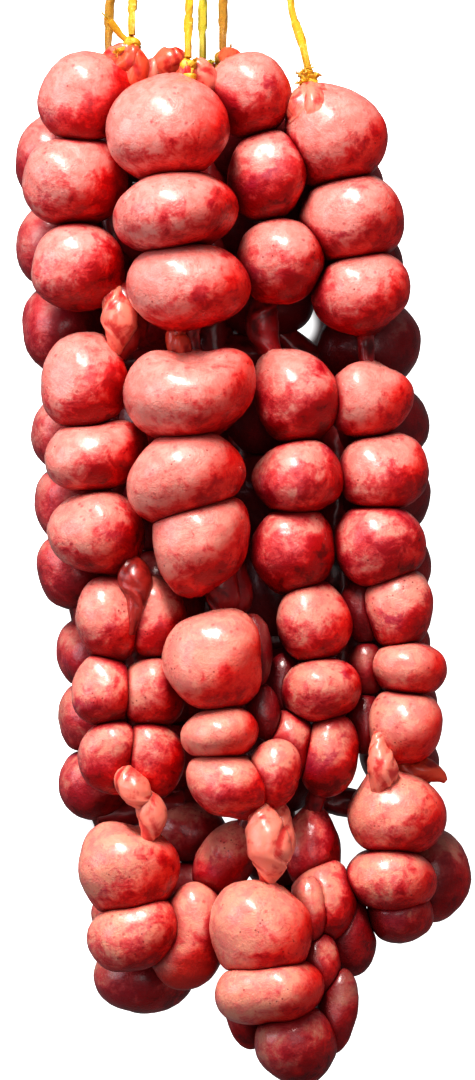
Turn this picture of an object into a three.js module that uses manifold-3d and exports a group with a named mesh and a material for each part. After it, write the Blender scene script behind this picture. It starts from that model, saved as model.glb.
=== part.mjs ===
// A hanging bundle of fresh sausages: six strings of plump links, each tied at its top with
// yellow twine, laid down on its back as it hung. Millimetres. X runs across the bundle,
// Y up along the strings, Z up from the table that the bundle lies on.
import * as THREE from "three";
import { mergeVertices } from "three/addons/utils/BufferGeometryUtils.js";
import Module from "manifold-3d";

const wasm = await Module();
wasm.setup();

// Heights of the strings' own axes above the table
const centreRise = 68;
const leftRise = 50;
const rightCentreRise = 53;
const rightRise = 48;
const backRise = 15.6; // the back strings are pressed a little flat on the table

// How a link is shaped
const plumpness = 0.78; // power on the sine of its outline: lower is fuller
const pinchShare = 0.7; // width left at the pinch between two links of a bunch
const depthShare = 0.96; // a link is a little less deep than wide
const ringsPerLink = 4;
const frontSides = 10;
const backSides = 8;
const neckSides = 6;
const neckRings = 4;
const neckGirth = 6; // a twisted neck that nothing swells
const neckBite = 5; // how far a neck reaches into the link at each of its ends
const contactGap = 0.35; // between strings that press on each other

// Twine
const twineDiameter = 2.8;
const twineSides = 8;
const tieKnotGirth = 6.5;
const tableGap = 0.1;
const topKnot = { x: -14, y: 247, length: 10, width: 15, height: 10 };
const topLoop = { radius: 13, bite: 2.5, sides: 6, steps: 20 };
const slotPitch = 4; // between the tie ends where they enter the top knot
const slotRise = 3.6; // from the lower row of tie ends to the upper one

const casing = new THREE.MeshStandardMaterial({ color: 0xd97f74, roughness: 0.3, metalness: 0 });
const casingInShade = new THREE.MeshStandardMaterial({ color: 0xa8454a, roughness: 0.35, metalness: 0 });
const twine = new THREE.MeshStandardMaterial({ color: 0xe9c01a, roughness: 0.55, metalness: 0 });

// Each string is one or two strands of bunches. A bunch runs from its upper end to its lower
// one, given as [x, y], with the width of each link in turn. tilts are the slopes in degrees
// of the pinches between them, bow is how far the bunch's middle swings to the right, lengths
// are the links' own where they aren't alike, and rise lifts or lowers it from the strand.
const strings = [
  {
    name: "string_centre",
    material: casing,
    sides: frontSides,
    strands: [
      {
        rise: centreRise,
        bunches: [
          { from: [-28, 174], to: [-19, 84], widths: [43, 47, 43], tilts: [8, 5] },
          { from: [-20, 78], to: [-15, -13], widths: [45, 41, 35], tilts: [8, 25], bow: -3 },
          { from: [-12, -19], to: [-5, -91], widths: [35, 28, 28], tilts: [5, 14], lengths: [34, 19, 21] },
          { from: [5, -115], to: [25, -187], widths: [38, 40, 27], tilts: [12, 16], lengths: [28, 23, 23], bow: -3 },
        ],
        necks: [
          { from: [-19, 90], to: [-24, 74], girth: 5 },
          { from: [-9, 4], to: [-6, -24], girth: 14, rise: -10 },
          { from: [8, -86], to: [10, -122], girth: 16 },
        ],
      },
      {
        rise: centreRise - 9,
        bunches: [
          { from: [5, -24], to: [11, -92], widths: [22, 19, 22], lengths: [23, 18, 27] },
          { from: [20, -116], to: [33, -175], widths: [24, 26, 24] },
        ],
        necks: [{ from: [11, -86], to: [18, -120], girth: neckGirth }],
      },
      {
        rise: centreRise - 20,
        bunches: [{ from: [-2, -140], to: [1, -177], widths: [20] }],
        necks: [],
      },
    ],
    tie: { knot: [-20.5, 178, 64], stub: [-17, 166], slot: [0, 0], lean: 0 },
  },
  {
    name: "string_left",
    material: casing,
    sides: frontSides,
    strands: [
      {
        rise: leftRise,
        bunches: [
          { from: [-50, 184], to: [-59, 91], widths: [38, 36, 33], tilts: [-8, 0], bow: -7 },
          { from: [-59, 79], to: [-51, -4], widths: [31, 34, 34], tilts: [19, 9] },
          { from: [-50, -9], to: [-48, -83], widths: [24, 23, 22], lengths: [28, 23, 24] },
          { from: [-47, -92], to: [-37, -153], widths: [37, 35], tilts: [24], lengths: [36, 28] },
        ],
        necks: [
          { from: [-50, 104], to: [-46, 64], girth: 12 },
          { from: [-44, 10], to: [-40, -24], girth: 12 },
          { from: [-44, -74], to: [-38, -106], girth: 11 },
        ],
      },
      {
        rise: leftRise - 1,
        bunches: [
          { from: [-33, -10], to: [-32, -83], widths: [22, 26, 23], lengths: [28, 24, 25] },
          { from: [-20, -112], to: [-24, -154], widths: [29], rise: -5 },
        ],
        necks: [{ from: [-34, -76], to: [-24, -122], girth: neckGirth, rise: -3 }],
      },
    ],
    tie: { knot: [-41, 187, 53], stub: [-46, 168], slot: [-1, 1], lean: 0 },
  },
  {
    name: "string_right_centre",
    material: casing,
    sides: frontSides,
    strands: [
      {
        rise: rightCentreRise,
        bunches: [
          { from: [0, 183], to: [15, 92], widths: [31, 29, 31], bow: 1 },
          { from: [18, 76], to: [19, -9], widths: [33, 34, 31] },
          { from: [25, -7], to: [31, -85], widths: [27, 30, 25], lengths: [30, 23, 27], tilts: [8, 0] },
          { from: [23, -88], to: [39, -149], widths: [25, 26, 22], rise: -9 },
        ],
        necks: [
          { from: [14, 98], to: [18, 70], girth: 8 },
          { from: [19, -2], to: [23, -14], girth: neckGirth },
          { from: [29, -79], to: [25, -95], girth: neckGirth, rise: -4 },
        ],
      },
      {
        rise: rightCentreRise - 4,
        bunches: [
          { from: [14, -34], to: [17, -82], widths: [18, 23] },
          { from: [-8, -94], to: [-5, -126], widths: [23], rise: -8 },
        ],
        necks: [{ from: [16, -74], to: [-4, -104], girth: 8, rise: -4 }],
      },
    ],
    tie: { knot: [-8, 183, 36], stub: [-3, 166], slot: [1, 0], lean: 0 },
  },
  {
    name: "string_right",
    material: casing,
    sides: frontSides,
    strands: [
      {
        rise: rightRise,
        bunches: [
          { from: [31, 172], to: [44, 82], widths: [36, 40, 35], tilts: [9, 3] },
          { from: [44, 72], to: [49, -10], widths: [28, 31, 31] },
          { from: [55, -4], to: [59, -74], widths: [26, 27, 26], lengths: [27, 19, 25], bow: 2 },
          { from: [54, -78], to: [56, -137], widths: [36, 35, 26], lengths: [28, 21, 12] },
        ],
        necks: [
          { from: [42, 88], to: [44, 66], girth: neckGirth },
          { from: [49, -3], to: [53, -10], girth: neckGirth },
          { from: [48, -60], to: [50, -90], girth: 12, rise: 4 },
        ],
      },
      {
        rise: rightRise - 4,
        bunches: [{ from: [44, -10], to: [44, -71], widths: [19, 19, 20] }],
        necks: [],
      },
    ],
    tie: { knot: [23, 175, 50], stub: [29, 160], slot: [1, 1], lean: -6 },
  },
  {
    name: "string_back_left",
    material: casingInShade,
    sides: backSides,
    strands: [
      {
        rise: backRise,
        bunches: [
          { from: [-67, 162], to: [-68, 71], widths: [34, 35, 31] },
          { from: [-64, 60], to: [-62, -17], widths: [29, 31, 28] },
          { from: [-57, -22], to: [-55, -94], widths: [26, 26, 26] },
          { from: [-46, -100], to: [-35, -167], widths: [27, 29, 36], lengths: [19, 20, 24] },
        ],
        necks: [
          { from: [-67, 77], to: [-63, 54], girth: neckGirth },
          { from: [-61, -11], to: [-57, -28], girth: neckGirth },
          { from: [-53, -88], to: [-47, -106], girth: neckGirth },
        ],
      },
      {
        rise: backRise,
        bunches: [
          { from: [-32, 170], to: [-32, 78], widths: [35, 35, 34] },
          { from: [-31, 67], to: [-29, -27], widths: [34, 34, 33] },
          { from: [-27, -36], to: [-25, -84], widths: [30, 30] },
          { from: [-22, -89], to: [-16, -132], widths: [28, 26] },
        ],
        necks: [
          { from: [-32, 158], to: [-30, 183], girth: 12, rise: 9 },
          { from: [-32, 85], to: [-31, 60], girth: neckGirth },
          { from: [-35, 84], to: [-60, 52], girth: neckGirth },
          { from: [-29, -20], to: [-27, -43], girth: neckGirth },
          { from: [-32, -19], to: [-52, -31], girth: neckGirth },
          { from: [-25, -77], to: [-22, -96], girth: neckGirth },
          { from: [-27, -77], to: [-43, -107], girth: neckGirth },
        ],
      },
    ],
    tie: { knot: [-50, 180, 30], stub: [-38, 156], slot: [-1, 0], lean: 0 },
  },
  {
    name: "string_back_right",
    material: casingInShade,
    sides: backSides,
    strands: [
      {
        rise: backRise,
        bunches: [
          { from: [4, 168], to: [5, 82], widths: [35, 36, 35] },
          { from: [7, 71], to: [9, -25], widths: [35, 35, 34] },
          { from: [10, -35], to: [12, -91], widths: [33, 31] },
          { from: [14, -97], to: [17, -142], widths: [30, 28] },
        ],
        necks: [
          { from: [5, 88], to: [7, 64], girth: neckGirth },
          { from: [8, 87], to: [46, 57], girth: neckGirth },
          { from: [9, -18], to: [10, -42], girth: neckGirth },
          { from: [12, -18], to: [47, -28], girth: neckGirth },
          { from: [12, -84], to: [14, -104], girth: neckGirth },
          { from: [15, -84], to: [58, -94], girth: neckGirth },
        ],
      },
      {
        rise: backRise,
        bunches: [
          { from: [30, 152], to: [51, 65], widths: [34, 35, 35] },
          { from: [51, 63], to: [52, -15], widths: [31, 31, 30] },
          { from: [52, -20], to: [58, -84], widths: [30, 29, 27] },
          { from: [60, -84], to: [73, -133], widths: [22, 30], lengths: [17, 30], rise: 2 },
        ],
        necks: [
          { from: [47, 71], to: [51, 57], girth: neckGirth },
          { from: [52, -9], to: [52, -26], girth: neckGirth },
          { from: [57, -79], to: [60, -90], girth: neckGirth },
        ],
      },
    ],
    tie: { knot: [-15.5, 180, 34], stub: [0, 156], slot: [0, 1], lean: 0 },
  },
];

// The fall of a tie from its knot to the table, in shares of its way along and of its drop
const tieFall = [
  [0, 0],
  [0.08, 0.02],
  [0.16, 0.14],
  [0.23, 0.4],
  [0.29, 0.7],
  [0.37, 0.93],
  [0.46, 1],
  [0.56, 1],
  [0.67, 1],
  [0.78, 1],
  [0.89, 1],
  [1, 1],
];
const leanShare = 0.4; // of the way along, over which a tie takes its lean
const gatherY = 206; // from here on the ties bend towards the top knot

// A closed geometry as a solid that can be joined and cut.
function solidOf(geometry) {
  const plain = geometry.clone();
  plain.deleteAttribute("normal");
  plain.deleteAttribute("uv");
  const merged = mergeVertices(plain, 1e-4);
  const corners = merged.index.array;
  const triangles = [];
  for (let i = 0; i < corners.length; i += 3) {
    const [a, b, c] = [corners[i], corners[i + 1], corners[i + 2]];
    if (a !== b && b !== c && c !== a) triangles.push(a, b, c);
  }
  return new wasm.Manifold(
    new wasm.Mesh({
      numProp: 3,
      vertProperties: new Float32Array(merged.attributes.position.array),
      triVerts: new Uint32Array(triangles),
    }),
  );
}

function meshOf(solid, name, material) {
  const { vertProperties, triVerts } = solid.getMesh();
  const geometry = new THREE.BufferGeometry();
  geometry.setAttribute("position", new THREE.BufferAttribute(new Float32Array(vertProperties), 3));
  geometry.setIndex(new THREE.BufferAttribute(new Uint32Array(triVerts), 1));
  geometry.computeVertexNormals();
  const mesh = new THREE.Mesh(geometry, material);
  mesh.name = name;
  return mesh;
}

// The value on a list of [place, value] rows at a place between them.
function between(rows, place) {
  const next = Math.max(1, rows.findIndex((row) => row[0] >= place));
  const [start, end] = [rows[next - 1], rows[next]];
  const share = THREE.MathUtils.clamp((place - start[0]) / (end[0] - start[0]), 0, 1);
  return THREE.MathUtils.lerp(start[1], end[1], share);
}

// A bunch of links: a turned outline, pinched between the links, then set on its own axis.
function bunchGeometry(bunch, strandRise, sides, grown) {
  const { widths, bow = 0, rise = 0, tilts = widths.slice(1).map(() => 0) } = bunch;
  const lengths = bunch.lengths ?? widths.map(() => 1);
  const total = lengths.reduce((sum, length) => sum + length);
  const outline = [new THREE.Vector2(0, 0)];
  const slopes = [[0, 0]];
  let start = 0;
  widths.forEach((width, i) => {
    const share = lengths[i] / total;
    const above = i === 0 ? 0 : (pinchShare * Math.min(widths[i - 1], width)) / 2;
    const below = i === widths.length - 1 ? 0 : (pinchShare * Math.min(width, widths[i + 1])) / 2;
    for (let ring = 1; ring <= ringsPerLink; ring += 1) {
      const angle = (Math.PI * ring) / ringsPerLink;
      const pinch = angle <= Math.PI / 2 ? above : below;
      const isEnd = i === widths.length - 1 && ring === ringsPerLink;
      const radius = pinch + (width / 2 - pinch) * Math.sin(angle) ** plumpness + grown;
      outline.push(new THREE.Vector2(isEnd ? 0 : radius, start + (share * (1 - Math.cos(angle))) / 2));
    }
    start += share;
    slopes.push([start, i < tilts.length ? tilts[i] : 0]);
  });
  const geometry = new THREE.LatheGeometry(outline, sides);
  const place = geometry.attributes.position;
  for (let i = 0; i < place.count; i += 1) {
    const along = THREE.MathUtils.clamp(place.getY(i), 0, 1);
    const slope = THREE.MathUtils.degToRad(between(slopes, along));
    const x = THREE.MathUtils.lerp(bunch.from[0], bunch.to[0], along) + 4 * bow * along * (1 - along);
    const y = THREE.MathUtils.lerp(bunch.from[1] + grown, bunch.to[1] - grown, along);
    const aside = place.getX(i);
    place.setXYZ(
      i,
      x + aside * Math.cos(slope),
      y + aside * Math.sin(slope),
      strandRise + rise - depthShare * place.getZ(i),
    );
  }
  return geometry;
}

// A neck of twisted casing: a spindle between two places, fullest in its middle.
function neckGeometry(from, to, girth, grown) {
  const start = new THREE.Vector3(...from);
  const axis = new THREE.Vector3(...to).sub(start);
  const outline = [new THREE.Vector2(0, -grown)];
  for (let ring = 1; ring < neckRings; ring += 1) {
    const share = ring / neckRings;
    const swell = 0.55 + 0.45 * Math.sin(Math.PI * share);
    outline.push(new THREE.Vector2((swell * girth) / 2 + grown, share * axis.length()));
  }
  outline.push(new THREE.Vector2(0, axis.length() + grown));
  const geometry = new THREE.LatheGeometry(outline, neckSides);
  const turn = new THREE.Quaternion().setFromUnitVectors(new THREE.Vector3(0, 1, 0), axis.normalize());
  return geometry.applyQuaternion(turn).translate(start.x, start.y, start.z);
}

// A strand's necks: the ones it names, or else one between each two bunches.
function strandNecks(strand) {
  const { bunches, necks, rise } = strand;
  if (necks.length) {
    return necks.map((neck) => ({
      from: [...neck.from, rise + (neck.rise ?? 0)],
      to: [...neck.to, rise + (neck.rise ?? 0)],
      girth: neck.girth,
    }));
  }
  return bunches.slice(1).map((bunch, i) => ({
    from: [bunches[i].to[0], bunches[i].to[1] + neckBite, rise + (bunches[i].rise ?? 0)],
    to: [bunch.from[0], bunch.from[1] - neckBite, rise + (bunch.rise ?? 0)],
    girth: neckGirth,
  }));
}

function stringSolid({ strands, sides, tie }, grown) {
  const pieces = strands.flatMap((strand) => [
    ...strand.bunches.map((bunch) => bunchGeometry(bunch, strand.rise, sides, grown)),
    ...strandNecks(strand).map((neck) => neckGeometry(neck.from, neck.to, neck.girth, grown)),
  ]);
  const [x, y, z] = tie.knot;
  const stubFoot = [...tie.stub, strands[0].rise];
  pieces.push(neckGeometry(stubFoot, [x, y - tieKnotGirth / 2 - contactGap, z], tieKnotGirth, grown));
  return pieces.map(solidOf).reduce((whole, piece) => whole.add(piece));
}

// The largest body of a solid, without the scraps that cutting leaves.
function largestBody(solid) {
  return solid.decompose().reduce((most, body) => (body.volume() > most.volume() ? body : most));
}

function tableBlock() {
  const side = 600;
  return solidOf(new THREE.BoxGeometry(side, side, side).translate(0, 0, -side / 2));
}

// The strings in turn, each cut back where an earlier one or the table presses on it.
function stringMeshes() {
  let taken = tableBlock();
  return strings.map((string) => {
    const solid = largestBody(stringSolid(string, 0).subtract(taken));
    taken = taken.add(stringSolid(string, contactGap));
    return meshOf(solid, string.name, string.material);
  });
}

function tieKnotMesh({ name, tie }) {
  const [x, y, z] = tie.knot;
  const geometry = new THREE.SphereGeometry(tieKnotGirth / 2, 6, 5);
  const mesh = new THREE.Mesh(geometry, twine);
  mesh.position.set(x, y, z);
  mesh.name = name.replace("string", "tie_knot");
  return mesh;
}

// The middle line of a tie, from its knot to its slot in the top knot.
function tieCurve({ knot, slot, lean }) {
  const lyingZ = twineDiameter / 2 + tableGap;
  const startY = knot[1] + tieKnotGirth / 2 + contactGap;
  const endY = topKnot.y - contactGap;
  const slotX = topKnot.x + slot[0] * slotPitch;
  const points = tieFall.map(([along, down]) => {
    const x = knot[0] + lean * Math.min(1, along / leanShare);
    const y = THREE.MathUtils.lerp(startY, endY, along);
    const gathered = THREE.MathUtils.smoothstep(y, gatherY, endY);
    const restZ = lyingZ + slot[1] * slotRise * (1 - (1 - gathered) ** 2);
    return new THREE.Vector3(
      THREE.MathUtils.lerp(x, slotX, gathered),
      y,
      THREE.MathUtils.lerp(knot[2], restZ, down),
    );
  });
  return new THREE.CatmullRomCurve3(points);
}

function tieMesh({ name, tie }) {
  const curve = tieCurve(tie);
  const section = new THREE.Shape();
  for (let side = 0; side < twineSides; side += 1) {
    const angle = (2 * Math.PI * side) / twineSides;
    const corner = [(twineDiameter / 2) * Math.cos(angle), (twineDiameter / 2) * Math.sin(angle)];
    if (side === 0) section.moveTo(...corner);
    else section.lineTo(...corner);
  }
  const steps = Math.round(curve.getLength() / (2.6 * twineDiameter));
  const geometry = new THREE.ExtrudeGeometry(section, { steps, extrudePath: curve, bevelEnabled: false });
  const mesh = new THREE.Mesh(geometry, twine);
  mesh.name = name.replace("string", "tie");
  return mesh;
}

// The knot that gathers the six ties, with the loop that the bundle hung by.
function topKnotMesh() {
  const { x, y, length, width, height } = topKnot;
  const outline = [
    new THREE.Vector2(0, 0),
    new THREE.Vector2(0.42 * width, 0),
    new THREE.Vector2(0.5 * width, 0.2 * length),
    new THREE.Vector2(0.5 * width, 0.8 * length),
    new THREE.Vector2(0.36 * width, length),
    new THREE.Vector2(0, length),
  ];
  const wrap = new THREE.LatheGeometry(outline, 12).scale(1, 1, height / width).translate(x, y, height / 2);
  const { radius, bite, sides, steps } = topLoop;
  const loopY = y + length + radius - bite;
  const ring = new THREE.TorusGeometry(radius, twineDiameter / 2, sides, steps);
  ring.translate(x, loopY, twineDiameter / 2 + tableGap);
  return meshOf(solidOf(wrap).add(solidOf(ring)), "top_knot", twine);
}

const bundle = new THREE.Group();
bundle.add(...stringMeshes());
bundle.add(...strings.map(tieKnotMesh));
bundle.add(...strings.map(tieMesh));
bundle.add(topKnotMesh());

export default bundle;
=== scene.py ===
# A hanging bundle of fresh sausages, laid on its back on a pale floor and seen from straight above.
import math

import bpy
import numpy as np
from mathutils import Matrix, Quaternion, Vector


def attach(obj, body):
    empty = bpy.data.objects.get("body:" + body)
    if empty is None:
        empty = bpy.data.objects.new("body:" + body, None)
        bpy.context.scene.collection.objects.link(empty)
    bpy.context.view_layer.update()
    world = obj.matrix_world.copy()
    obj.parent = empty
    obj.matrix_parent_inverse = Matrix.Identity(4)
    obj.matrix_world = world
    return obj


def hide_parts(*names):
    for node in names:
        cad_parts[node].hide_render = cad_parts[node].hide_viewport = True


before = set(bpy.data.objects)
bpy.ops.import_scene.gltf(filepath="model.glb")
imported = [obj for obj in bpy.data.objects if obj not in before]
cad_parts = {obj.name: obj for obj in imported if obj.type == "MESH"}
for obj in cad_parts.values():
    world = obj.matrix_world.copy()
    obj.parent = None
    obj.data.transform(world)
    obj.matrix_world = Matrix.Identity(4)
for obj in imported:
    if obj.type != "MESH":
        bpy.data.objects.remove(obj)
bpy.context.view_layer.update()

mm = 0.001


# Node trees: a value that takes part in sums, and a maker that adds any node

class Value:
    def __init__(self, maker, socket):
        self.maker = maker
        self.socket = socket

    def other(self, name):  # another output of the same node
        return Value(self.maker, self.socket.node.outputs[name])

    def __add__(self, term):
        return self.maker.sum("ADD", self, term)

    def __radd__(self, term):
        return self.maker.sum("ADD", term, self)

    def __sub__(self, term):
        return self.maker.sum("SUBTRACT", self, term)

    def __rsub__(self, term):
        return self.maker.sum("SUBTRACT", term, self)

    def __mul__(self, term):
        return self.maker.sum("MULTIPLY", self, term)

    def __rmul__(self, term):
        return self.maker.sum("MULTIPLY", term, self)

    def __truediv__(self, term):
        return self.maker.sum("DIVIDE", self, term)


class Maker:
    def __init__(self, tree):
        self.tree = tree

    def node(self, kind, settings=None, sockets=None, out=0):
        made = self.tree.nodes.new(kind)
        for name, value in (settings or {}).items():
            setattr(made, name, value)
        for name, value in (sockets or {}).items():
            if isinstance(value, Value):
                self.tree.links.new(value.socket, made.inputs[name])
            else:
                made.inputs[name].default_value = value
        return Value(self, made.outputs[out]) if made.outputs else made

    def sum(self, operation, first, second=0.0):
        return self.node("ShaderNodeMath", {"operation": operation}, {0: first, 1: second})

    def step(self, value, low, high):  # 0 below low, 1 above high, smooth between
        settings = {"interpolation_type": "SMOOTHSTEP"}
        return self.node("ShaderNodeMapRange", settings, {"Value": value, "From Min": low, "From Max": high})

    def place(self):
        return self.node("ShaderNodeTexCoord", out="Object")

    def painted(self, name):  # a value stored on the mesh, as a material reads it
        return self.node("ShaderNodeAttribute", {"attribute_name": name}, out="Fac")

    def stored(self, name):  # the same, as a geometry tree reads it
        return self.node("GeometryNodeInputNamedAttribute", {"data_type": "FLOAT"}, {"Name": name})

    def store(self, geometry, name, value):
        settings = {"data_type": "FLOAT", "domain": "POINT"}
        sockets = {"Geometry": geometry, "Name": name, "Value": value}
        return self.node("GeometryNodeStoreNamedAttribute", settings, sockets)

    def where(self):
        return self.node("GeometryNodeInputPosition")

    def placed(self, geometry, place):
        return self.node("GeometryNodeSetPosition", {}, {"Geometry": geometry, "Position": place})

    def pushed(self, geometry, height):  # moved along its own normals
        away = self.scaled(self.node("GeometryNodeInputNormal"), height)
        return self.node("GeometryNodeSetPosition", {}, {"Geometry": geometry, "Offset": away})

    def line(self, curve, step):  # a curve with a point at every step
        sockets = {"Curve": curve, "Length": step}
        return self.node("GeometryNodeResampleCurve", {"mode": "LENGTH"}, sockets)

    def tilted(self, line, turn):
        return self.node("GeometryNodeSetCurveTilt", {}, {"Curve": line, "Tilt": turn})

    def ring(self, sides, radius):  # a circle, and the angle of its points
        sockets = {"Resolution": sides, "Radius": radius}
        circle = self.node("GeometryNodeCurvePrimitiveCircle", {}, sockets)
        return circle, self.node("GeometryNodeInputIndex") / sides * (2 * math.pi)

    def swept(self, line, ring, width):
        sockets = {"Curve": line, "Profile Curve": ring, "Scale": width, "Fill Caps": True}
        return self.node("GeometryNodeCurveToMesh", {}, sockets)

    def noise(self, place, scale, detail=2.0, roughness=0.5, distortion=0.0):
        sockets = {"Vector": place, "Scale": scale, "Detail": detail}
        sockets.update({"Roughness": roughness, "Distortion": distortion})
        return self.node("ShaderNodeTexNoise", {}, sockets)

    def mix(self, share, first, second, way="MIX"):
        settings = {"data_type": "RGBA", "blend_type": way}
        return self.node("ShaderNodeMix", settings, {0: share, 6: first, 7: second}, out=2)

    def scaled(self, vector, factor):
        return self.node("ShaderNodeVectorMath", {"operation": "SCALE"}, {0: vector, "Scale": factor})


def newMaterial(name):
    material = bpy.data.materials.new(name)
    material.use_nodes = True
    material.node_tree.nodes.clear()
    return material, Maker(material.node_tree)


def endMaterial(maker, sockets):
    shine = maker.node("ShaderNodeBsdfPrincipled", {}, sockets)
    maker.node("ShaderNodeOutputMaterial", {}, {"Surface": shine})


def newGeometryTree(name, values):  # with an input for each value and one for the material
    tree = bpy.data.node_groups.new(name, "GeometryNodeTree")
    face = tree.interface
    face.new_socket("Geometry", in_out="INPUT", socket_type="NodeSocketGeometry")
    for label, value in values.items():
        kind = "NodeSocketInt" if isinstance(value, int) else "NodeSocketFloat"
        face.new_socket(label, in_out="INPUT", socket_type=kind).default_value = value
    face.new_socket("Material", in_out="INPUT", socket_type="NodeSocketMaterial")
    face.new_socket("Geometry", in_out="OUTPUT", socket_type="NodeSocketGeometry")
    maker = Maker(tree)
    return tree, maker, maker.node("NodeGroupInput")


def endGeometryTree(maker, given, geometry):
    real = maker.node("GeometryNodeRealizeInstances", {}, {"Geometry": geometry})
    sockets = {"Geometry": real, "Material": given.other("Material")}
    maker.node("NodeGroupOutput", {}, {"Geometry": maker.node("GeometryNodeSetMaterial", {}, sockets)})


def addObject(name, data):
    made = bpy.data.objects.new(name, data)
    bpy.context.scene.collection.objects.link(made)
    return made


def grown(source, tree, values, name):  # the tree run on an object, as a plain mesh object
    modifier = source.modifiers.new("grow", "NODES")
    modifier.node_group = tree
    for socket in tree.interface.items_tree:
        if socket.in_out == "INPUT" and socket.name in values:
            modifier[socket.identifier] = values[socket.name]
    bpy.context.view_layer.update()
    seen = source.evaluated_get(bpy.context.evaluated_depsgraph_get())
    mesh = bpy.data.meshes.new_from_object(seen)
    source.modifiers.remove(modifier)
    bpy.data.objects.remove(source)
    mesh.name = name
    return addObject(name, mesh)


def setAttribute(mesh, name, values):
    attribute = mesh.attributes.new(name, "FLOAT", "POINT")
    attribute.data.foreach_set("value", np.asarray(values, np.float32).ravel())


# Camera: straight above, a long lens, the picture's frame

cameraValues = {"x": -2.7, "y": 7.6, "focusHeight": 68, "distance": 2200, "seenHeight": 388.8, "sensor": 36}


def makeCamera(values):
    data = bpy.data.cameras.new("camera")
    data.sensor_width = values["sensor"]
    data.lens = values["sensor"] * values["distance"] / values["seenHeight"]
    camera = addObject("camera", data)
    camera.location = Vector((values["x"], values["y"], values["focusHeight"] + values["distance"])) * mm
    bpy.context.scene.camera = camera


makeCamera(cameraValues)
print("camera made")


# Twine: six ties of twisted yellow ribbon that fall to the floor and meet in the top knot

twineValues = {
    "diameter": 2.8, "flatness": 0.74, "turnsPerMetre": 9.0, "step": 0.6, "sides": 20,
    "knotGirth": 6.5, "gap": 0.35, "floorGap": 0.1, "slotPitch": 4, "slotRise": 3.6,
    "gatherY": 206, "leanShare": 0.4, "topX": -14, "topY": 247, "seed": 3,
    "knotTwine": 2.5, "tailTwine": 2.3, "threadTwine": 0.35, "threadSides": 6, "threadsPerTail": 9,
}
topKnotValues = {
    "turns": 4, "halfWidth": 6.1, "halfHeight": 3.6, "start": 0.3, "length": 8.3, "rise": 5,
    "loopRadius": 13, "loopMiddle": 20.5, "loopRise": 1.7, "loopLift": 2.6,
}
twineColours = {  # each from the dark between its fibres to the light on them
    "bright": ((0.58, 0.27, 0.008, 1), (0.86, 0.5, 0.03, 1)),
    # painted shade: yellow twine as it looks in shadow
    "shadedGold": ((0.16, 0.055, 0.004, 1), (0.58, 0.29, 0.03, 1)),
    "green": ((0.3, 0.24, 0.01, 1), (0.62, 0.5, 0.05, 1)),
    "worn": (0.88, 0.62, 0.16, 1),
}
# How a tie falls from its knot to the floor: share of its way along, share of its drop
tieFall = [
    (0, 0), (0.08, 0.02), (0.16, 0.14), (0.23, 0.4), (0.29, 0.7), (0.37, 0.93),
    (0.46, 1), (0.56, 1), (0.67, 1), (0.78, 1), (0.89, 1), (1, 1),
]
# Where each tie's knot is, its slot in the top knot, how far it leans, its colour (0 bright yellow,
# 1 darker yellow as painted shade on a tie in shadow, 2 greenish) and its cut ends
ties = {
    "centre": {
        "knot": (-20.5, 178, 64), "slot": (0, 0), "lean": 0, "dyeAndShade": 0.0,
        "tails": [(-2.5, -3.5, 1.5), (2.5, 2, 2)],
    },
    "left": {
        "knot": (-41, 187, 53), "slot": (-1, 1), "lean": 0, "dyeAndShade": 0.0,
        "tails": [(-8, 8.5, 2), (-5, -2.5, 2.5)],
    },
    "right_centre": {"knot": (-8, 183, 36), "slot": (1, 0), "lean": 0, "dyeAndShade": 1.0, "tails": [(2, 3, 2)]},
    "right": {
        "knot": (23, 175, 50), "slot": (1, 1), "lean": -6, "dyeAndShade": 0.0,
        "tails": [
            (-3.4, 1.6, 1), (3.4, 1, 1), (-2.8, -1.4, 1.5), (2.8, -1.8, 1.5), (0.6, 3.2, 2),
            (-1.6, 2.6, 2.4),
        ],
    },
    "back_left": {"knot": (-50, 180, 30), "slot": (-1, 0), "lean": 0, "dyeAndShade": 1.0, "tails": [(-3, 2, 1)]},
    "back_right": {"knot": (-15.5, 180, 34), "slot": (0, 1), "lean": 0, "dyeAndShade": 2.0, "tails": [(3, 2, 2)]},
}


def smoothCurve(points, steps=12):  # a smooth line through the points
    points = np.array(points, float)
    points = np.vstack([2 * points[0] - points[1], points, 2 * points[-1] - points[-2]])
    line = []
    for a, b, c, d in zip(points, points[1:], points[2:], points[3:]):
        for t in np.arange(steps) / steps:
            line.append(0.5 * (2 * b + (c - a) * t + (2 * a - 5 * b + 4 * c - d) * t**2
                               + (3 * b - a - 3 * c + d) * t**3))
    return np.array(line + [points[-2]])


def tieRoute(tie, values):
    x, y, z = tie["knot"]
    startY = y + values["knotGirth"] / 2 + values["gap"]
    endY = values["topY"] - values["gap"]
    slotX = values["topX"] + tie["slot"][0] * values["slotPitch"]
    lyingZ = values["diameter"] / 2 + values["floorGap"]
    points = []
    for along, down in tieFall:
        nowY = startY + (endY - startY) * along
        share = min(1, max(0, (nowY - values["gatherY"]) / (endY - values["gatherY"])))
        gathered = share * share * (3 - 2 * share)
        leaning = x + tie["lean"] * min(1, along / values["leanShare"])
        restZ = lyingZ + tie["slot"][1] * values["slotRise"] * (1 - (1 - gathered) ** 2)
        points.append((leaning + (slotX - leaning) * gathered, nowY, z + (restZ - z) * down))
    return smoothCurve(points)


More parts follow.
